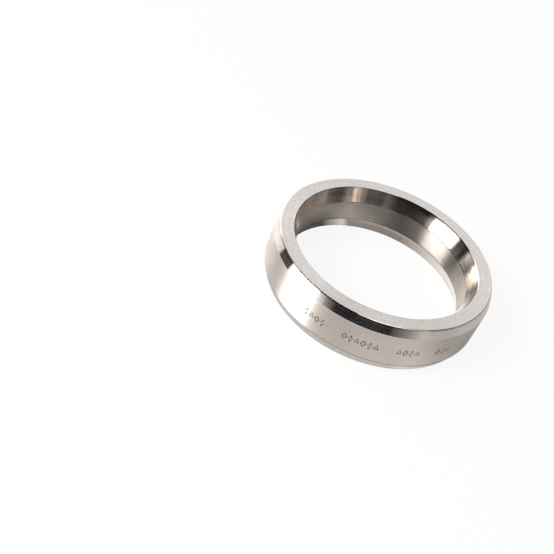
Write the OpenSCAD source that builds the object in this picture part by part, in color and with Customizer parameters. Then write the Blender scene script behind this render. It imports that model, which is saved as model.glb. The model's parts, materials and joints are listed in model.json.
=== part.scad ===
/* [Ring] */
// Outside diameter, across the tall outer wall
outside_d = 105.97; // [70:0.01:300]
// Height from one flat end to the other
ring_h = 25.4; // [20:0.1:45]

/* [Section] */
// Width of each flat end, between the sharp corners of its two bevels
flat_w = 6.45; // [3:0.05:12]
// Height of the outer bevels, which press on the outer side of a flange groove
outer_bevel_h = 4.24; // [2:0.02:8]
// Height of the bore bevels, which lead from the flat ends to the bore
bore_bevel_h = 7.2; // [3:0.05:9]
// Lean of every bevel from the ring's axis, in degrees
bevel_angle = 23; // [10:0.5:35]
// Radius that breaks every edge of the section
edge_r = 0.5; // [0.1:0.05:1]

/* [Hidden] */
$fn = 240;

// Steps in the arc of each broken edge
edge_steps = 6;
// Warm grey of turned stainless steel
steel_colour = [0.73, 0.69, 0.66];

// Radii of the section's sharp corners, from the outer wall in to the bore
outside_r = outside_d / 2;
flat_outer_r = outside_r - outer_bevel_h * tan(bevel_angle);
flat_inner_r = flat_outer_r - flat_w;
bore_r = flat_inner_r - bore_bevel_h * tan(bevel_angle);

// Sharp corners of the lower end, from the bore outwards
lower_corners = [
    [bore_r, bore_bevel_h],
    [flat_inner_r, 0],
    [flat_outer_r, 0],
    [outside_r, outer_bevel_h],
];
// The upper end mirrors the lower one, and is drawn from the outer wall inwards
upper_corners = [
    for (i = [len(lower_corners) - 1 : -1 : 0])
        [lower_corners[i].x, ring_h - lower_corners[i].y]
];

// Direction from one point of the section to the next
function heading(from, to) = atan2(to.y - from.y, to.x - from.x);

// Point at an angle on a circle
function on_circle(centre, r, angle) = centre + r * [cos(angle), sin(angle)];

// Arc that rounds one corner of an outline drawn anticlockwise
function rounded_corner(before, corner, after) =
    let (
        start = heading(before, corner) - 90,
        turn = (heading(corner, after) - heading(before, corner) + 360) % 360,
        centre = on_circle(corner, -edge_r / cos(turn / 2), start + turn / 2)
    )
    [for (step = [0 : edge_steps]) on_circle(centre, edge_r, start + turn * step / edge_steps)];

// Outline with each of its corners rounded
function rounded_outline(points) =
    let (count = len(points))
    [
        for (i = [0 : count - 1])
            each rounded_corner(points[(i + count - 1) % count], points[i], points[(i + 1) % count])
    ];

// One turned ring, lying on its lower flat end with its axis along Z
module gasket_ring() {
    color(steel_colour)
        rotate_extrude()
            polygon(rounded_outline(concat(lower_corners, upper_corners)));
}

gasket_ring();
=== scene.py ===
"""Ring joint gasket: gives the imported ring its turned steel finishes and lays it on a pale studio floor."""

import json
import math

import bpy
from mathutils import Matrix, Vector


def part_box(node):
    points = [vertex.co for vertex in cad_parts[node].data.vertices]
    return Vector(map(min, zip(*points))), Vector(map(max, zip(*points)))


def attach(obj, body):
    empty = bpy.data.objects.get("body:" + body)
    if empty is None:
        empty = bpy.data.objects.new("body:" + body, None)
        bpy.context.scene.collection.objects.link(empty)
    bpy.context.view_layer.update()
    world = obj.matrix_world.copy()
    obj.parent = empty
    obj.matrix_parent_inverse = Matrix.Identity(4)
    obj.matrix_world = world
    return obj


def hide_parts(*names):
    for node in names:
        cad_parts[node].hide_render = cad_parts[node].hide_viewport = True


bl_info = {
    "name": "Ring joint gasket",
    "version": (1, 0, 0),
    "blender": (4, 5, 0),
    "location": "View3D > Sidebar > Gasket",
    "description": "Turns a steel ring joint gasket around its packed frame and sets it on a studio floor",
    "category": "Object",
}

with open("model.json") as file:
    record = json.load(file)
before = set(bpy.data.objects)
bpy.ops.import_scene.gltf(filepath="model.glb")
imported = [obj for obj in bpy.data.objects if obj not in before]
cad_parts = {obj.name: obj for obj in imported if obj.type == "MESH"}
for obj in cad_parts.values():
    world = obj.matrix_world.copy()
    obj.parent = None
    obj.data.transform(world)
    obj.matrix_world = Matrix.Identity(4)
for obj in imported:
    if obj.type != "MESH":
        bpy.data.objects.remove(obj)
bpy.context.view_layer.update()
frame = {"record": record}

MM = 0.001
QUARTER_TURN = math.pi / 2
RING_NODE = "gasket_ring"
MOUNTS = {mount["name"]: mount for mount in frame["record"]["mounts"]}
RING_LOW, RING_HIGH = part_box(RING_NODE)

# The photograph's frame in pixels, the width of the camera's sensor in millimetres, and the nearest that
# the camera sees in metres
PHOTO_SIDE = 554
SENSOR_WIDTH = 36.0
NEAREST_SEEN = 0.01

# Driving sizes of the section: all but the bevels' lean follow from the frame
BEVEL_LEAN = math.radians(23)
OUTSIDE_RADIUS = max(RING_HIGH)
RING_HEIGHT = RING_HIGH[2] - RING_LOW[2]
BORE_RADIUS = MOUNTS["bore"]["dims"]["r_mm"] * MM
FLAT_MIDDLE_RADIUS = MOUNTS["upper_flat"]["pos_m"][0]
OUTER_BEVEL_HEIGHT = 2 * (RING_HEIGHT - MOUNTS["upper_groove_seat"]["pos_m"][2])
FLAT_OUTER_RADIUS = OUTSIDE_RADIUS - OUTER_BEVEL_HEIGHT * math.tan(BEVEL_LEAN)
FLAT_WIDTH = 2 * (FLAT_OUTER_RADIUS - FLAT_MIDDLE_RADIUS)
BORE_BEVEL_HEIGHT = (FLAT_OUTER_RADIUS - FLAT_WIDTH - BORE_RADIUS) / math.tan(BEVEL_LEAN)

# How far up or down a face has to point to be a flat, and how near to a bevel's or a wall's lean to be one
FLAT_TILT = 0.995
TILT_SLACK = 0.01

# Rows of stamped marks: the angle of a row's middle from +X in degrees, its number of marks and the kind
# that it starts with
STAMP_ROWS = ((245.0, 4, 0), (269.0, 6, 1), (292.5, 4, 2), (311.5, 3, 1))
# How many kinds further on each next mark in a row is
KIND_STEP = 2.0
# The marks, in shares of their height: each loop's corners, size and upward stretch, and where the open
# cross's upright and level arms begin and end
TRIANGLE = (3, 0.28, 1.35)
DIAMOND = (4, 0.27, 1.6)
UPRIGHT_ARM = (0.17, 0.5)
LEVEL_ARM = (0.12, 0.27)
# The stamp's edge: its corners, half its width, and how deep it is for that width
STAMP_CORNERS = 4
STAMP_EDGE = 0.34 * MM
STAMP_BLUNTNESS = 0.55

# Turned faces: what their grooves follow each other along, how deep the grooves are, and how much the
# bands that the tool left and the satin grain show
TURNED_FACES = {
    "turned_flat": ("radius", 0.004 * MM, 0.7, 1.5),
    "sealing_bevel": ("height", 0.001 * MM, 1.0, 1.0),
    "outer_wall": ("height", 0.005 * MM, 0.3, 1.0),
    "bore_wall": ("height", 0.008 * MM, 1.0, 1.0),
    "dark_edge": ("height", 0.001 * MM, 0.5, 1.0),
    "worn_edge": ("height", 0.001 * MM, 0.5, 1.0),
}
# The value that noise swings round, and how much detail it has in fine and in broad patterns
NOISE_MIDDLE = 0.5
FINE_DETAIL = 2.0
BROAD_DETAIL = 3.0
# Cells of noise to a radian round the axis
GROOVE_CELLS = 3.0
BAND_CELLS = 1.2
# How far each pattern swings the tone and the roughness of the steel
BAND_TONE = 1.3
GROOVE_TONE = 0.6
MOTTLE_TONE = 0.6
GRAIN_TONE = 1.2
BAND_WEAR = 0.6
MOTTLE_WEAR = 0.3
# The steel's dark and light tone, as shares of its colour
STEEL_DARK = 0.86
STEEL_LIGHT = 1.12
# How much darker the steel is made beside the corners of the wall and the bore, and how much painted shade
# darkens the bevels along the rims of the flats
CORNER_DARKENING = 2.5
RIM_PAINTED_SHADE = 6.0
# Anisotropic rotation that stretches a highlight across the turning grooves
ACROSS_THE_GROOVES = 0.25
# The stamped grooves' darker steel: the size of its mottle, its dark and light tone, its least roughness and
# the swing of it
STAMP_MOTTLE_SIZE = 0.8 * MM
STAMP_DARK_SHARE = 0.6
STAMP_LIGHT_SHARE = 1.5
STAMP_ROUGHNESS = 0.3
STAMP_ROUGHNESS_SWING = 0.3
# Sockets of a Mix node for colours
MIX_FIRST = 6
MIX_SECOND = 7
MIX_RESULT = 2

# The floor's reach from the axis, how far it lies below the ring's base, and its roughness
FLOOR_REACH = 4.0
FLOOR_DROP = 0.05 * MM
FLOOR_ROUGHNESS = 0.9
# Power of an area lamp of one square metre that looks as bright as a white of strength 1
WATTS_FOR_RADIANCE = 4.0
WHITE = (1.0, 1.0, 1.0)
WARM = (1.0, 0.88, 0.74)
NEAR_BLACK = (0.008, 0.008, 0.014)
# Glow of the cards that paint glints in the metal
GLINT_GLOW = 1.5

# Dark cards that only the metal mirrors. Those that stand up are black flags; those that lie on the floor are
# painted shadow on the floor, seen only in the metal. Each is a band round the axis: its first and last
# bearing and the fade at each in degrees, its cover, and the distance and height of its two edges in metres
DARK_CARDS = {
    "front_card": (-41, 43, 17, 24, 1.0, (0.15, 0.0), (0.15, 0.078)),
    "front_high_card": (-51, 46, 14, 24, 1.0, (0.16, 0.045), (0.16, 0.080)),
    "right_card": (8, 146, 32, 8, 0.88, (1.0, 0.05), (1.0, 0.33)),
    "right_high_card": (8, 146, 32, 8, 0.75, (1.0, 0.33), (1.0, 1.5)),
    "right_line_card": (56, 150, 8, 8, 1.0, (0.20, 0.5), (0.45, 0.5)),
    "left_top_card": (-128, 10, 6, 4, 1.0, (1.1, 0.55), (1.1, 1.65)),
    "back_card": (140, 212, 6, 6, 1.0, (1.0, 0.0), (1.0, 0.20)),
    "left_low_card": (-88, -70, 3, 1, 1.0, (0.13, 0.0), (0.13, 0.034)),
    "left_high_card": (-109, -88.5, 3, 1, 1.0, (0.20, 0.022), (0.20, 0.10)),
    "left_grey_card": (-133, -110, 4, 1, 0.5, (0.17, 0.0), (0.17, 0.04)),
    "ceiling_card": (-140, 24, 12, 10, 1.0, (0.0, 0.5), (0.32, 0.5)),
    # The floor patches from here to right_shade are painted shadow that the bore, the bevels and the wall
    # mirror
    "bore_painted_shadow": (-224, -174, 8, 6, 1.0, (0.0, 0.0), (0.0365, 0.0)),
    "bore_near_painted_shadow": (-24, 20, 4, 4, 1.0, (0.0, 0.0), (0.036, 0.0)),
    "bore_shade": (-160, -98, 12, 4, 0.95, (0.015, 0.0), (0.0405, 0.0)),
    "bevel_shade": (-215, -153, 22, 4, 0.62, (0.0405, 0.0), (0.050, 0.0)),
    "bevel_end_shade": (-152, -110, 14, 4, 0.9, (0.0405, 0.0), (0.050, 0.0)),
    "low_bevel_shade": (-75, 24, 4, 6, 0.22, (0.050, 0.0), (0.0536, 0.0)),
    "low_bevel_end_shade": (24, 72, 20, 6, 0.45, (0.0516, 0.0003), (0.0538, 0.0003)),
    "wall_shade": (34, 100, 40, 4, 0.62, (0.050, 0.0), (0.078, 0.0)),
    "left_wall_shade": (-140, -84, 10, 6, 0.5, (0.0538, 0.0), (0.0715, 0.0)),
    "edge_shade": (30, 74, 8, 8, 0.45, (0.082, 0.0), (0.15, 0.0)),
    "right_shade": (44, 150, 20, 4, 0.25, (0.080, 0.0002), (0.90, 0.0002)),
    "left_edge_card": (-64, -14, 4, 4, 1.0, (0.080, 0.0275), (0.080, 0.042)),
    "inner_edge_card": (-240, -186, 4, 4, 1.0, (0.031, 0.0270), (0.031, 0.0365)),
}
# A dark card that hangs over the middle of the ring: it runs from side to side in millimetres, and its edges
# give how far back and how high they are
HUNG_CARDS = {
    "bevel_card": (-17, 26, 13, 21, 1.0, (0.0, 0.0235), (0.0, 0.050)),
}
# Glowing cards on the floor that only the metal mirrors, which paint bright reflections (painted glints),
# written as the dark ones are
BRIGHT_CARDS = {
    "left_back_glint": (-133, -91, 4, 2, 1.0, (0.072, 0.0), (0.20, 0.0)),
    "bevel_glint": (-268, -215, 4, 14, 0.45, (0.0405, 0.0), (0.050, 0.0)),
    "bore_glint": (-270, -226, 4, 8, 0.9, (0.0345, 0.0), (0.0405, 0.0)),
}
# Soft boxes that the metal mirrors: first and last bearing, distance, lower and upper edge, colour and
# radiance
WINDOWS = {
    "left_window": (-81, -45, 1.0, 0.0, 0.20, WHITE, 3.5),
    "left_high_window": (-81, -45, 1.0, 0.20, 0.54, WHITE, 20.0),
    "window_halo": (-45, -37, 1.0, 0.0, 0.54, WHITE, 0.6),
    "left_back_window": (-160, -104, 1.0, 0.0, 0.60, WHITE, 2.0),
    "warm_strip": (55.5, 59.5, 0.88, 0.115, 0.80, WARM, 0.6),
    "warm_middle": (50, 61, 0.90, 0.115, 0.80, WARM, 0.34),
    "warm_glow": (43, 68, 0.92, 0.115, 0.80, WARM, 0.18),
    "edge_lamp": (-7.3, 27, 0.0564, 0.0335, 0.040, WHITE, 2.5),
}
# The lamp that lights what is matt, together with the room, written as the soft boxes are
PLAIN_LAMPS = {
    "soft_key": (-80, -40, 1.0, 0.5, 1.1, WHITE, 8.0),
}


class RingSizes(bpy.types.PropertyGroup):
    """Sizes of the turned ring"""

    outside_radius: bpy.props.FloatProperty(
        name="Outside radius", description="Radius of the tall outer wall",
        default=OUTSIDE_RADIUS, unit="LENGTH", precision=5)
    height: bpy.props.FloatProperty(
        name="Height", description="Height from one flat end to the other",
        default=RING_HEIGHT, unit="LENGTH", precision=5)
    flat_width: bpy.props.FloatProperty(
        name="Flat width", description="Width of each flat end between its sharp corners",
        default=FLAT_WIDTH, unit="LENGTH", precision=5)
    outer_bevel_height: bpy.props.FloatProperty(
        name="Outer bevel height", description="Height of the bevels beside the outer wall",
        default=OUTER_BEVEL_HEIGHT, unit="LENGTH", precision=5)
    bore_bevel_height: bpy.props.FloatProperty(
        name="Bore bevel height", description="Height of the bevels that lead to the bore",
        default=BORE_BEVEL_HEIGHT, unit="LENGTH", precision=5)
    bevel_lean: bpy.props.FloatProperty(
        name="Bevel lean", description="Angle of every bevel from the ring's axis",
        default=BEVEL_LEAN, subtype="ANGLE")
    edge_radius: bpy.props.FloatProperty(
        name="Edge radius", description="Radius that breaks every edge",
        default=0.5 * MM, unit="LENGTH", precision=5)
    edge_steps: bpy.props.IntProperty(
        name="Edge steps", description="Points along the arc of each broken edge", default=6)
    around: bpy.props.IntProperty(
        name="Steps around", description="Steps around the ring", default=720)


class StampedMarks(bpy.types.PropertyGroup):
    """Plain marks stamped in the outer wall"""

    mark_height: bpy.props.FloatProperty(
        name="Mark height", description="Height of a stamped mark",
        default=3.8 * MM, unit="LENGTH", precision=5)
    level: bpy.props.FloatProperty(
        name="Level", description="Height of the marks' middle above the base",
        default=12.6 * MM, unit="LENGTH", precision=5)
    depth: bpy.props.FloatProperty(
        name="Depth", description="Depth of a stamped groove",
        default=0.18 * MM, unit="LENGTH", precision=6)
    pitch: bpy.props.FloatProperty(
        name="Pitch", description="Angle from one mark to the next",
        default=math.radians(3.1), subtype="ANGLE")


class SteelFinish(bpy.types.PropertyGroup):
    """Colour and finish of the turned steel"""

    steel: bpy.props.FloatVectorProperty(
        name="Steel", description="Colour of the sealing bevels",
        subtype="COLOR", default=(0.63, 0.565, 0.51))
    faced_steel: bpy.props.FloatVectorProperty(
        name="Faced steel", description="Colour of the faced flat ends",
        subtype="COLOR", default=(0.69, 0.65, 0.62))
    # Lighter than the bevels' steel: this paints light on the outer wall
    wall_steel: bpy.props.FloatVectorProperty(
        name="Wall steel", description="Colour of the outer wall",
        subtype="COLOR", default=(0.69, 0.62, 0.56))
    # Darker than the bevels' steel: this paints the shade inside the ring into the bore's colour
    bored_steel: bpy.props.FloatVectorProperty(
        name="Bored steel", description="Colour of the bored inside",
        subtype="COLOR", default=(0.50, 0.45, 0.40))
    # The broken edges are given steel that is darker than the faces'
    dark_edge: bpy.props.FloatVectorProperty(
        name="Dull edge", description="Colour of the broken edges",
        subtype="COLOR", default=(0.36, 0.31, 0.27))
    worn_edge: bpy.props.FloatVectorProperty(
        name="Worn edge", description="Colour of the edges beside the flats and above the outer wall",
        subtype="COLOR", default=(0.80, 0.74, 0.69))
    stamped_steel: bpy.props.FloatVectorProperty(
        name="Stamped steel", description="Colour in the stamped grooves",
        subtype="COLOR", default=(0.15, 0.125, 0.105))
    flat_roughness: bpy.props.FloatProperty(
        name="Flat roughness", description="Roughness of the flat ends",
        default=0.18, subtype="FACTOR")
    bevel_roughness: bpy.props.FloatProperty(
        name="Bevel roughness", description="Roughness of the sealing bevels",
        default=0.14, subtype="FACTOR")
    wall_roughness: bpy.props.FloatProperty(
        name="Wall roughness", description="Roughness of the outer wall",
        default=0.33, subtype="FACTOR")
    bore_roughness: bpy.props.FloatProperty(
        name="Bore roughness", description="Roughness of the bore",
        default=0.37, subtype="FACTOR")
    edge_roughness: bpy.props.FloatProperty(
        name="Edge roughness", description="Roughness of the broken edges",
        default=0.08, subtype="FACTOR")
    groove_pitch: bpy.props.FloatProperty(
        name="Groove pitch", description="Usual distance between the fine turning grooves",
        default=0.25 * MM, unit="LENGTH", precision=6)
    band_pitch: bpy.props.FloatProperty(
        name="Band pitch", description="Usual width of the bands that the tool left",
        default=1.1 * MM, unit="LENGTH", precision=6)
    mottle_size: bpy.props.FloatProperty(
        name="Mottle size", description="Usual size of the faint stains",
        default=6 * MM, unit="LENGTH", precision=5)
    grain_size: bpy.props.FloatProperty(
        name="Grain size", description="Usual size of the satin grain",
        default=0.8 * MM, unit="LENGTH", precision=6)
    # The darkening beside an edge: painted shade along the rims of the flats, a plain darkening beside the
    # wall's and the bore's corners
    stain_width: bpy.props.FloatProperty(
        name="Stain width", description="How far the stain beside an edge reaches",
        default=0.7 * MM, unit="LENGTH", precision=6)


class StudioStage(bpy.types.PropertyGroup):
    """Floor, room and camera"""

    floor: bpy.props.FloatVectorProperty(
        name="Floor", description="Colour of the floor",
        subtype="COLOR", default=(0.95, 0.95, 0.95))
    floor_glow: bpy.props.FloatProperty(
        name="Floor glow", description="Share of the floor that shows white without any lamp",
        default=0.88, subtype="FACTOR")
    ambient: bpy.props.FloatProperty(
        name="Ambient", description="Strength of the room's white that lights what is matt",
        default=0.6, subtype="FACTOR")
    view_elevation: bpy.props.FloatProperty(
        name="View elevation", description="How steeply the camera looks down",
        default=math.radians(40.55), subtype="ANGLE")
    view_roll: bpy.props.FloatProperty(
        name="View roll", description="How far the camera leans to one side",
        default=math.radians(20.36), subtype="ANGLE")
    view_depth: bpy.props.FloatProperty(
        name="View depth", description="Distance to the ring's base along the line of sight",
        default=369.5 * MM, unit="LENGTH", precision=4)
    lens: bpy.props.FloatProperty(
        name="Lens", description="Focal length of the camera",
        default=49.85, unit="CAMERA")
    centre_px: bpy.props.FloatVectorProperty(
        name="Centre pixel", description="Where the centre of the ring's base falls in the photograph",
        size=2, default=(368.85, 286.29))


class Socket:
    """An output socket that takes part in Python arithmetic: each operator adds a Math node."""

    def __init__(self, graph, socket):
        self.graph = graph
        self.socket = socket

    def other(self, name):
        """Another output of the same node."""
        return Socket(self.graph, self.socket.node.outputs[name])

    def math(self, operation, *values):
        return self.graph.node("ShaderNodeMath", {"operation": operation}, dict(enumerate(values)))

    def __add__(self, value):
        return self.math("ADD", self, value)

    def __radd__(self, value):
        return self.math("ADD", value, self)

    def __sub__(self, value):
        return self.math("SUBTRACT", self, value)

    def __rsub__(self, value):
        return self.math("SUBTRACT", value, self)

    def __mul__(self, value):
        return self.math("MULTIPLY", self, value)

    def __rmul__(self, value):
        return self.math("MULTIPLY", value, self)

    def __truediv__(self, value):
        return self.math("DIVIDE", self, value)

    def __rtruediv__(self, value):
        return self.math("DIVIDE", value, self)

    def __mod__(self, value):
        return self.math("FLOORED_MODULO", self, value)

    def __gt__(self, value):
        return self.math("GREATER_THAN", self, value)

    def __lt__(self, value):
        return self.math("LESS_THAN", self, value)

    def __abs__(self):
        return self.math("ABSOLUTE", self)


class Graph:
    """A node tree that is written as expressions."""

    def __init__(self, tree):
        self.tree = tree
        self.entry = None

    def node(self, kind, settings=None, inputs=None, output=0):
        """Adds a node, applies its settings, then sets or links its inputs. Returns one of its outputs."""
        made = self.tree.nodes.new(kind)
        for name, value in (settings or {}).items():
            if name == "items":
                while len(made.index_switch_items) < value:
                    made.index_switch_items.new()
            else:
                setattr(made, name, value)
        for key, value in (inputs or {}).items():
            if isinstance(value, Socket):
                self.tree.links.new(value.socket, made.inputs[key])
            else:
                made.inputs[key].default_value = value
        return Socket(self, made.outputs[output])

    def link(self, value, socket):
        self.tree.links.new(value.socket, socket)

    def input(self, name, kind):
        """Adds a named input to the tree and returns its socket."""
        self.tree.interface.new_socket(name, in_out="INPUT", socket_type=kind)
        if self.entry is None:
            self.entry = self.tree.nodes.new("NodeGroupInput")
        return Socket(self, self.entry.outputs[name])

    def result(self, geometry):
        """Ends the tree with its one output."""
        self.tree.interface.new_socket("Geometry", in_out="OUTPUT", socket_type="NodeSocketGeometry")
        leave = self.tree.nodes.new("NodeGroupOutput")
        self.link(geometry, leave.inputs[0])

    def join(self, parts):
        joined = self.tree.nodes.new("GeometryNodeJoinGeometry")
        for part in parts:
            self.link(part, joined.inputs[0])
        return Socket(self, joined.outputs[0])

    def vector(self, x=0.0, y=0.0, z=0.0):
        return self.node("ShaderNodeCombineXYZ", inputs={"X": x, "Y": y, "Z": z})

    def noise(self, place, size, detail):
        """Noise whose cells are about so large."""
        return self.node("ShaderNodeTexNoise", inputs={"Vector": place, "Scale": 1 / size, "Detail": detail})

    def tinted(self, tone, colour, dark, light, clamp=True):
        """A colour that goes with a tone from a dark share of itself to a light one."""
        return self.node("ShaderNodeMix", {"data_type": "RGBA", "clamp_factor": clamp}, {
            "Factor": tone,
            MIX_FIRST: (*(channel * dark for channel in colour), 1.0),
            MIX_SECOND: (*(min(1.0, channel * light) for channel in colour), 1.0),
        }, MIX_RESULT)


def shader_graph(name):
    """A new material, its graph and its shader."""
    material = bpy.data.materials.new(name)
    material.use_nodes = True
    graph = Graph(material.node_tree)
    shader = material.node_tree.nodes["Principled BSDF"]
    return material, graph, shader


def turned_steel(name, colour, roughness, finish, darkened_heights=()):
    """Turned stainless steel with grooves round the axis. Its tone is made darker at the given heights, which
    paints shade where they are the rims of the flats.
    """
    along, groove_depth, banding, speckle = TURNED_FACES[name]
    material, graph, shader = shader_graph(name)
    place = graph.node("ShaderNodeTexCoord", output="Object")
    x = graph.node("ShaderNodeSeparateXYZ", inputs={"Vector": place})
    y = x.other("Y")
    z = x.other("Z")
    radius = x.math("SQRT", x * x + y * y)
    lay = {"radius": radius, "height": z}[along]

    def streaks(cells, pitch, detail):
        """Noise that is long round the axis, with so many cells to a radian, and short along the face."""
        turned = graph.vector(x / radius * cells, y / radius * cells, lay / pitch)
        return graph.noise(turned, 1.0, detail)

    grooves = streaks(GROOVE_CELLS, finish.groove_pitch, FINE_DETAIL)
    bands = streaks(BAND_CELLS, finish.band_pitch, BROAD_DETAIL)
    mottle = graph.noise(place, finish.mottle_size, BROAD_DETAIL)
    grain = graph.noise(place, finish.grain_size, FINE_DETAIL)
    tone = NOISE_MIDDLE + (bands - NOISE_MIDDLE) * (BAND_TONE * banding)
    tone = tone + (grooves - NOISE_MIDDLE) * GROOVE_TONE
    tone = tone + (mottle - NOISE_MIDDLE) * MOTTLE_TONE
    tone = tone + (grain - NOISE_MIDDLE) * (GRAIN_TONE * speckle)
    # Darker at the given heights: painted shade along the flats' rims, a plain darkening at the corners
    for height, darkness in darkened_heights:
        nearness = z.math("MAXIMUM", 1.0 - abs(z - height) / finish.stain_width, 0.0)
        tone = tone - nearness * darkness
    wear = 1.0 + (bands - NOISE_MIDDLE) * (BAND_WEAR * banding)
    wear = wear + (mottle - NOISE_MIDDLE) * MOTTLE_WEAR
    bump = graph.node("ShaderNodeBump", inputs={
        "Strength": 1.0, "Distance": groove_depth, "Height": grooves})
    graph.link(graph.tinted(tone, colour, STEEL_DARK, STEEL_LIGHT, clamp=False), shader.inputs["Base Color"])
    graph.link(wear * roughness, shader.inputs["Roughness"])
    graph.link(bump, shader.inputs["Normal"])
    shader.inputs["Metallic"].default_value = 1.0
    shader.inputs["Anisotropic"].default_value = 1.0
    shader.inputs["Anisotropic Rotation"].default_value = ACROSS_THE_GROOVES
    return material


def stamped_steel(colour):
    """Steel in the stamped grooves, darker than the faces, with a mottled tone."""
    material, graph, shader = shader_graph("stamped_steel")
    place = graph.node("ShaderNodeTexCoord", output="Object")
    stamp_mottle = graph.noise(place, STAMP_MOTTLE_SIZE, BROAD_DETAIL)
    graph.link(graph.tinted(stamp_mottle, colour, STAMP_DARK_SHARE, STAMP_LIGHT_SHARE), shader.inputs["Base Color"])
    graph.link(STAMP_ROUGHNESS + stamp_mottle * STAMP_ROUGHNESS_SWING, shader.inputs["Roughness"])
    shader.inputs["Metallic"].default_value = 1.0
    return material


def stamp_row_tree():
    """A row of stamp edges along the wall: triangles, diamonds and open crosses that take turns."""
    tree = bpy.data.node_groups.new("stamp_row", "GeometryNodeTree")
    graph = Graph(tree)
    radius = graph.input("Wall radius", "NodeSocketFloat")
    level = graph.input("Level", "NodeSocketFloat")
    tall = graph.input("Mark height", "NodeSocketFloat")
    depth = graph.input("Depth", "NodeSocketFloat")
    pitch = graph.input("Pitch", "NodeSocketFloat")
    middle = graph.input("Middle", "NodeSocketFloat")
    count = graph.input("Count", "NodeSocketInt")
    first = graph.input("First kind", "NodeSocketInt")

    def line(start, end):
        """A straight stroke between two points in shares of the mark's height."""
        ends = {"Start": graph.vector(*(tall * share for share in start)),
                "End": graph.vector(*(tall * share for share in end))}
        return graph.node("GeometryNodeCurvePrimitiveLine", inputs=ends)

    def loop(corners, size, stretch=1.0):
        """An even-sided loop with a corner at the top, stretched upwards."""
        outline = graph.node("GeometryNodeCurvePrimitiveCircle", {"mode": "RADIUS"},
                             {"Resolution": corners, "Radius": size})
        outline = graph.node("GeometryNodeTransform", inputs={
            "Geometry": outline, "Rotation": (0.0, 0.0, QUARTER_TURN)})
        return graph.node("GeometryNodeTransform", inputs={
            "Geometry": outline, "Scale": (1.0, stretch, 1.0)})

    loops = []
    for corners, size, stretch in (TRIANGLE, DIAMOND):
        loops.append(loop(corners, tall * size, stretch))
    arms = []
    for side in (1.0, -1.0):
        arms.append(line((0.0, side * UPRIGHT_ARM[0]), (0.0, side * UPRIGHT_ARM[1])))
    for side in (1.0, -1.0):
        arms.append(line((side * LEVEL_ARM[0], 0.0), (side * LEVEL_ARM[1], 0.0)))
    cross = graph.join(arms)
    edge = loop(STAMP_CORNERS, STAMP_EDGE)
    kinds = []
    for strokes in (*loops, cross):
        punch = graph.node("GeometryNodeCurveToMesh", inputs={
            "Curve": strokes, "Profile Curve": edge, "Fill Caps": True})
        kinds.append(graph.node("GeometryNodeGeometryToInstance", inputs={"Geometry": punch}))

    # The edge's point reaches the groove's depth into the wall
    index = graph.node("GeometryNodeInputIndex")
    angle = middle + (index - (count - 1.0) / 2.0) * pitch
    reach = radius + STAMP_EDGE * STAMP_BLUNTNESS - depth
    spot = graph.vector(reach * angle.math("COSINE", angle), reach * angle.math("SINE", angle), level)
    upright = graph.node("FunctionNodeEulerToRotation", inputs={
        "Euler": graph.vector(QUARTER_TURN, 0.0, angle + QUARTER_TURN)})
    marks = graph.node("GeometryNodePoints", inputs={"Count": count, "Position": spot})
    row = graph.node("GeometryNodeInstanceOnPoints", inputs={
        "Points": marks, "Instance": graph.join(kinds), "Pick Instance": True,
        "Instance Index": (index * KIND_STEP + first) % len(kinds), "Rotation": upright,
        "Scale": (1.0, 1.0, STAMP_BLUNTNESS)})
    graph.result(graph.node("GeometryNodeRealizeInstances", inputs={"Geometry": row}))
    return tree


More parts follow.
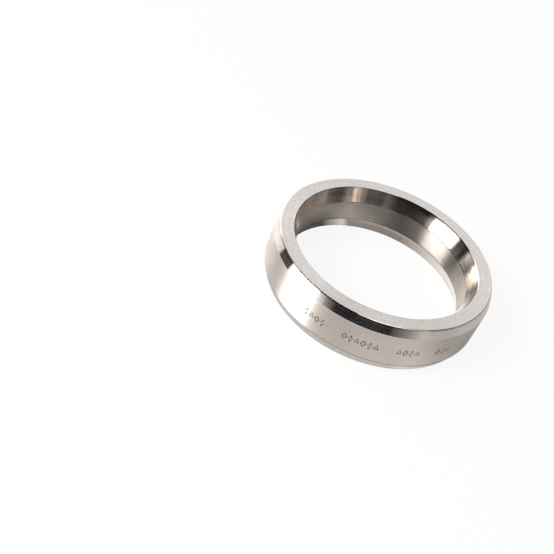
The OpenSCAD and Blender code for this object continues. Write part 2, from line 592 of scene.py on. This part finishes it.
def ring_tree():
    """The ring: an eight-cornered section with broken edges, carried round the axis and stamped."""
    tree = bpy.data.node_groups.new("turned_ring", "GeometryNodeTree")
    graph = Graph(tree)
    radius = graph.input("Outside radius", "NodeSocketFloat")
    height = graph.input("Height", "NodeSocketFloat")
    flat = graph.input("Flat width", "NodeSocketFloat")
    outer_bevel = graph.input("Outer bevel height", "NodeSocketFloat")
    bore_bevel = graph.input("Bore bevel height", "NodeSocketFloat")
    lean = graph.input("Bevel lean", "NodeSocketFloat")
    edge = graph.input("Edge radius", "NodeSocketFloat")
    edge_steps = graph.input("Edge steps", "NodeSocketInt")
    around = graph.input("Steps around", "NodeSocketInt")
    stamps = {name: graph.input(name, "NodeSocketFloat")
              for name in ("Level", "Mark height", "Depth", "Pitch")}
    finishes = {name: graph.input(name, "NodeSocketMaterial")
                for name in ("Flat", "Bevel", "Wall", "Bore", "Edge", "Worn edge", "Stamp")}

    # Corners of the section, as distances out from the outer wall and up from the base.
    # Carried round the axis, the outline's own Y points down.
    slope = lean.math("TANGENT", lean)
    flat_outer = outer_bevel * slope * -1.0
    flat_inner = flat_outer - flat
    bore = flat_inner - bore_bevel * slope
    lower = [(bore, bore_bevel), (flat_inner, 0.0), (flat_outer, 0.0), (0.0, outer_bevel)]
    upper = [(out, height - up) for out, up in reversed(lower)]
    corners = [graph.vector(out, up * -1.0) for out, up in reversed(lower + upper)]

    index = graph.node("GeometryNodeInputIndex")
    choose = {"Index": index, **{str(i): corner for i, corner in enumerate(corners)}}
    place = graph.node("GeometryNodeIndexSwitch", {"data_type": "VECTOR", "items": len(corners)}, choose)
    outline = graph.node("GeometryNodeCurvePrimitiveCircle", {"mode": "RADIUS"},
                         {"Resolution": len(corners)})
    outline = graph.node("GeometryNodeSetPosition", inputs={"Geometry": outline, "Position": place})
    outline = graph.node("GeometryNodeFilletCurve", {"mode": "POLY"},
                         {"Curve": outline, "Count": edge_steps, "Radius": edge})

    path = graph.node("GeometryNodeCurvePrimitiveCircle", {"mode": "RADIUS"},
                      {"Resolution": around, "Radius": radius})
    path = graph.node("GeometryNodeSetCurveNormal", {"mode": "Z_UP"}, {"Curve": path})
    ring = graph.node("GeometryNodeCurveToMesh", inputs={"Curve": path, "Profile Curve": outline})
    ring = graph.node("GeometryNodeSetShadeSmooth", {"domain": "FACE"}, {"Geometry": ring})

    # Each turned face takes its own finish, told by which way it faces. The first zone holds every face,
    # and each later one takes its own out of it
    normal = graph.node("GeometryNodeInputNormal")
    position = graph.node("GeometryNodeInputPosition")
    upward = graph.node("ShaderNodeSeparateXYZ", inputs={"Vector": normal}, output="Z")
    tilt = abs(upward)
    outward = graph.node("ShaderNodeVectorMath", {"operation": "DOT_PRODUCT"},
                         {0: normal, 1: position}, "Value")
    bevel_tilt = lean.math("SINE", lean)
    above_wall = (upward > TILT_SLACK) * (upward < bevel_tilt) * (outward > 0.0)
    zones = {
        "Edge": tilt > -1.0,
        "Worn edge": above_wall + (tilt > bevel_tilt),
        "Flat": tilt > FLAT_TILT,
        "Bevel": abs(tilt - bevel_tilt) < TILT_SLACK,
        "Wall": (tilt < TILT_SLACK) * (outward > 0.0),
        "Bore": (tilt < TILT_SLACK) * (outward < 0.0),
    }
    for zone, selection in zones.items():
        ring = graph.node("GeometryNodeSetMaterial", inputs={
            "Geometry": ring, "Selection": selection, "Material": finishes[zone]})

    # The stamp edges cut their grooves out of the wall
    row_tree = stamp_row_tree()
    rows = []
    for middle, count, first in STAMP_ROWS:
        rows.append(graph.node("GeometryNodeGroup", {"node_tree": row_tree}, {
            "Wall radius": radius, "Middle": math.radians(middle), "Count": count,
            "First kind": first, **stamps}))
    punches = graph.node("GeometryNodeStoreNamedAttribute", {"data_type": "BOOLEAN", "domain": "FACE"}, {
        "Geometry": graph.join(rows), "Name": "stamped", "Value": True})
    cut = graph.node("GeometryNodeMeshBoolean", {"operation": "DIFFERENCE", "solver": "EXACT"}, {
        "Mesh 1": ring, "Mesh 2": punches})
    rim = cut.other("Intersecting Edges")
    ring = graph.node("GeometryNodeSetShadeSmooth", {"domain": "EDGE"}, {
        "Geometry": cut, "Selection": rim, "Shade Smooth": False})
    ring = graph.node("GeometryNodeRealizeInstances", inputs={"Geometry": ring})
    stamped = graph.node("GeometryNodeInputNamedAttribute", {"data_type": "BOOLEAN"}, {"Name": "stamped"})
    ring = graph.node("GeometryNodeSetMaterial", inputs={
        "Geometry": ring, "Selection": stamped, "Material": finishes["Stamp"]})
    graph.result(ring)
    return tree


def run_tree(name, tree, values):
    """Runs a tree on a new object, with its inputs set by name, and leaves the object with a plain mesh."""
    piece = bpy.data.objects.new(name, bpy.data.meshes.new(name))
    bpy.context.scene.collection.objects.link(piece)
    modifier = piece.modifiers.new("shape", "NODES")
    for item in tree.interface.items_tree:
        if item.in_out == "INPUT":
            modifier[item.identifier] = values[item.name]
    modifier.node_group = tree
    weigh = piece.modifiers.new("even_normals", "WEIGHTED_NORMAL")
    weigh.keep_sharp = True
    graph = bpy.context.evaluated_depsgraph_get()
    mesh = bpy.data.meshes.new_from_object(
        piece.evaluated_get(graph), preserve_all_data_layers=True, depsgraph=graph)
    piece.modifiers.clear()
    piece.data = mesh
    mesh.name = name
    return piece


class GASKET_OT_turn_ring(bpy.types.Operator):
    """Turn the ring from its section, stamp it and give each face its finish"""

    bl_idname = "gasket.turn_ring"
    bl_label = "Turn the ring"

    def execute(self, context):
        sizes = context.scene.gasket_sizes
        stamps = context.scene.gasket_stamps
        finish = context.scene.gasket_finish
        # Painted shade along the bevels' rims next to the flats, and darker steel beside the wall's and the
        # bore's corners
        painted_rim_shade = [(0.0, RIM_PAINTED_SHADE), (sizes.height, RIM_PAINTED_SHADE)]
        wall_corner = [(sizes.outer_bevel_height, CORNER_DARKENING)]
        bore_corners = [(sizes.bore_bevel_height, CORNER_DARKENING),
                        (sizes.height - sizes.bore_bevel_height, CORNER_DARKENING)]
        values = {
            "Outside radius": sizes.outside_radius,
            "Height": sizes.height,
            "Flat width": sizes.flat_width,
            "Outer bevel height": sizes.outer_bevel_height,
            "Bore bevel height": sizes.bore_bevel_height,
            "Bevel lean": sizes.bevel_lean,
            "Edge radius": sizes.edge_radius,
            "Edge steps": sizes.edge_steps,
            "Steps around": sizes.around,
            "Level": stamps.level,
            "Mark height": stamps.mark_height,
            "Depth": stamps.depth,
            "Pitch": stamps.pitch,
            "Flat": turned_steel("turned_flat", finish.faced_steel, finish.flat_roughness, finish),
            "Bevel": turned_steel("sealing_bevel", finish.steel, finish.bevel_roughness, finish, painted_rim_shade),
            "Wall": turned_steel(
                "outer_wall", finish.wall_steel, finish.wall_roughness, finish, wall_corner),
            "Bore": turned_steel(
                "bore_wall", finish.bored_steel, finish.bore_roughness, finish, bore_corners),
            "Edge": turned_steel("dark_edge", finish.dark_edge, finish.edge_roughness, finish),
            "Worn edge": turned_steel("worn_edge", finish.worn_edge, finish.edge_roughness, finish),
            "Stamp": stamped_steel(finish.stamped_steel),
        }
        ring = run_tree("turned_ring", ring_tree(), values)
        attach(ring, "root")
        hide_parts(RING_NODE)
        return {"FINISHED"}


def add_mesh(name, points, faces, material):
    mesh = bpy.data.meshes.new(name)
    mesh.from_pydata(points, [], faces)
    mesh.materials.append(material)
    thing = bpy.data.objects.new(name, mesh)
    bpy.context.scene.collection.objects.link(thing)
    return thing


def on_bearing(bearing, distance, height):
    """A point on a bearing from the ring's axis: 0 is towards the camera and 90 to the right."""
    bearing = math.radians(bearing)
    return Vector((distance * math.sin(bearing), -distance * math.cos(bearing), height))


def over_ring(side, back, height):
    """A point so many millimetres to the right of the ring's axis."""
    return Vector((side * MM, back, height))


def shown_rays(graph):
    """1 for rays that show the background or its mirror image, and 0 for those that only gather light."""
    rays = graph.node("ShaderNodeLightPath")
    mirrored = rays.math("MAXIMUM", rays.other("Is Glossy Ray"), rays.other("Is Transmission Ray"))
    return rays.math("MAXIMUM", rays, mirrored)


def pale_floor(colour, glow):
    """Matt white floor. A share of it shows white by itself, so shadows on it stay light."""
    material, graph, shader = shader_graph("pale_floor")
    shader.inputs["Base Color"].default_value = (*colour, 1.0)
    shader.inputs["Roughness"].default_value = FLOOR_ROUGHNESS
    shader.inputs["Specular IOR Level"].default_value = 0.0
    white = graph.node("ShaderNodeEmission", inputs={"Color": (*WHITE, 1.0), "Strength": 1.0})
    matt = Socket(graph, shader.outputs["BSDF"])
    mixed = graph.node("ShaderNodeMixShader", inputs={0: shown_rays(graph) * glow, 1: matt, 2: white})
    graph.link(mixed, graph.tree.nodes["Material Output"].inputs["Surface"])
    return material


def card_stuff(name, colour, strength=1.0):
    """Stuff that shows an even colour and thins out where the card's cover attribute falls to nothing."""
    material, graph, _ = shader_graph(name)
    cover = graph.node("ShaderNodeAttribute", {"attribute_name": "cover"}, output="Fac")
    clear = graph.node("ShaderNodeBsdfTransparent")
    stuff = graph.node("ShaderNodeEmission", inputs={"Color": (*colour, 1.0), "Strength": strength})
    mixed = graph.node("ShaderNodeMixShader", inputs={0: cover, 1: clear, 2: stuff})
    graph.link(mixed, graph.tree.nodes["Material Output"].inputs["Surface"])
    return material


def mirrored_card(name, sizes, spot, material):
    """A strip that fades at its ends and shows only in reflections. Spot gives the points of its edges."""
    first, last, fade_in, fade_out, cover, near_edge, far_edge = sizes
    steps = round(last - first)
    points = []
    covers = []
    for i in range(steps + 1):
        along = first + (last - first) * i / steps
        share = min(1.0, (along - first) / fade_in, (last - along) / fade_out)
        points += [spot(along, *near_edge), spot(along, *far_edge)]
        covers += [share * cover, share * cover]
    faces = [(2 * i, 2 * i + 2, 2 * i + 3, 2 * i + 1) for i in range(steps)]
    card = add_mesh(name, points, faces, material)
    card.data.attributes.new("cover", "FLOAT", "POINT").data.foreach_set("value", covers)
    card.visible_camera = False
    card.visible_diffuse = False
    card.visible_shadow = False


def softbox(name, first, last, distance, low, high, colour, radiance):
    """An upright soft lamp between two bearings and two heights, which faces the ring's axis."""
    width = 2 * distance * math.tan(math.radians(last - first) / 2)
    lamp = bpy.data.lights.new(name, "AREA")
    lamp.shape = "RECTANGLE"
    lamp.size = width
    lamp.size_y = high - low
    lamp.color = colour
    lamp.energy = WATTS_FOR_RADIANCE * radiance * width * (high - low)
    thing = bpy.data.objects.new(name, lamp)
    towards = on_bearing((first + last) / 2, distance, 0.0)
    thing.location = towards + Vector((0.0, 0.0, (low + high) / 2))
    thing.rotation_euler = (-towards).to_track_quat("-Z", "Y").to_euler()
    bpy.context.scene.collection.objects.link(thing)
    return thing


def white_room(ambient):
    """A world that shows white and lights what is matt with a share of it."""
    world = bpy.data.worlds.new("white_room")
    world.use_nodes = True
    graph = Graph(world.node_tree)
    strength = ambient + shown_rays(graph) * (1.0 - ambient)
    background = world.node_tree.nodes["Background"]
    background.inputs["Color"].default_value = (*WHITE, 1.0)
    graph.link(strength, background.inputs["Strength"])
    return world


def photo_camera(stage):
    """A camera that sees the ring where the photograph shows it."""
    camera = bpy.data.cameras.new("photo_camera")
    camera.sensor_width = SENSOR_WIDTH
    camera.lens = stage.lens
    camera.clip_start = NEAREST_SEEN
    thing = bpy.data.objects.new("photo_camera", camera)
    bpy.context.scene.collection.objects.link(thing)
    look_down = Matrix.Rotation(QUARTER_TURN - stage.view_elevation, 4, "X")
    turn = look_down @ Matrix.Rotation(stage.view_roll, 4, "Z")
    pixel_size = SENSOR_WIDTH / stage.lens / PHOTO_SIDE
    across = (stage.centre_px[0] - PHOTO_SIDE / 2) * pixel_size * stage.view_depth
    down = (stage.centre_px[1] - PHOTO_SIDE / 2) * pixel_size * stage.view_depth
    centre_seen = Vector((across, -down, -stage.view_depth))
    thing.matrix_world = Matrix.Translation(turn @ -centre_seen) @ turn
    return thing


class GASKET_OT_set_stage(bpy.types.Operator):
    """Lay the floor, hang the lamps and cards and place the camera"""

    bl_idname = "gasket.set_stage"
    bl_label = "Set the stage"

    def execute(self, context):
        stage = context.scene.gasket_stage
        corners = [(x * FLOOR_REACH, y * FLOOR_REACH, -FLOOR_DROP)
                   for x, y in ((-1, -1), (1, -1), (1, 1), (-1, 1))]
        floor_stuff = pale_floor(stage.floor, stage.floor_glow)
        add_mesh("studio_floor", corners, [(0, 1, 2, 3)], floor_stuff)

        # Black flags, and painted shadow on the floor, both seen only in the metal
        flag_and_shadow_stuff = card_stuff("black_flags_and_painted_shadow", NEAR_BLACK)
        for name, sizes in DARK_CARDS.items():
            mirrored_card(name, sizes, on_bearing, flag_and_shadow_stuff)
        for name, sizes in HUNG_CARDS.items():
            mirrored_card(name, sizes, over_ring, flag_and_shadow_stuff)
        # Glowing floor cards that paint glints in the metal
        glint_stuff = card_stuff("glowing_painted_glint", WHITE, GLINT_GLOW)
        for name, sizes in BRIGHT_CARDS.items():
            mirrored_card(name, sizes, on_bearing, glint_stuff)
        for name, sizes in WINDOWS.items():
            softbox(name, *sizes).visible_diffuse = False
        for name, sizes in PLAIN_LAMPS.items():
            softbox(name, *sizes).visible_glossy = False

        context.scene.world = white_room(stage.ambient)
        context.scene.view_settings.view_transform = "Standard"
        context.scene.camera = photo_camera(stage)
        return {"FINISHED"}


class GASKET_PT_panel(bpy.types.Panel):
    """Sizes, marks, finish and stage of the ring joint gasket"""

    bl_label = "Ring joint gasket"
    bl_idname = "GASKET_PT_panel"
    bl_space_type = "VIEW_3D"
    bl_region_type = "UI"
    bl_category = "Gasket"

    def draw(self, context):
        for name in SETTINGS:
            group = getattr(context.scene, name)
            box = self.layout.box()
            for setting in group.__annotations__:
                box.prop(group, setting)
        self.layout.operator("gasket.turn_ring")
        self.layout.operator("gasket.set_stage")


SETTINGS = {
    "gasket_sizes": RingSizes,
    "gasket_stamps": StampedMarks,
    "gasket_finish": SteelFinish,
    "gasket_stage": StudioStage,
}
CLASSES = (*SETTINGS.values(), GASKET_OT_turn_ring, GASKET_OT_set_stage, GASKET_PT_panel)


def register():
    for cls in CLASSES:
        bpy.utils.register_class(cls)
    for name, group in SETTINGS.items():
        setattr(bpy.types.Scene, name, bpy.props.PointerProperty(type=group))


def unregister():
    for name in SETTINGS:
        delattr(bpy.types.Scene, name)
    for cls in reversed(CLASSES):
        bpy.utils.unregister_class(cls)


def main():
    register()
    bpy.ops.gasket.turn_ring()
    bpy.ops.gasket.set_stage()


if __name__ == "__main__":
    main()
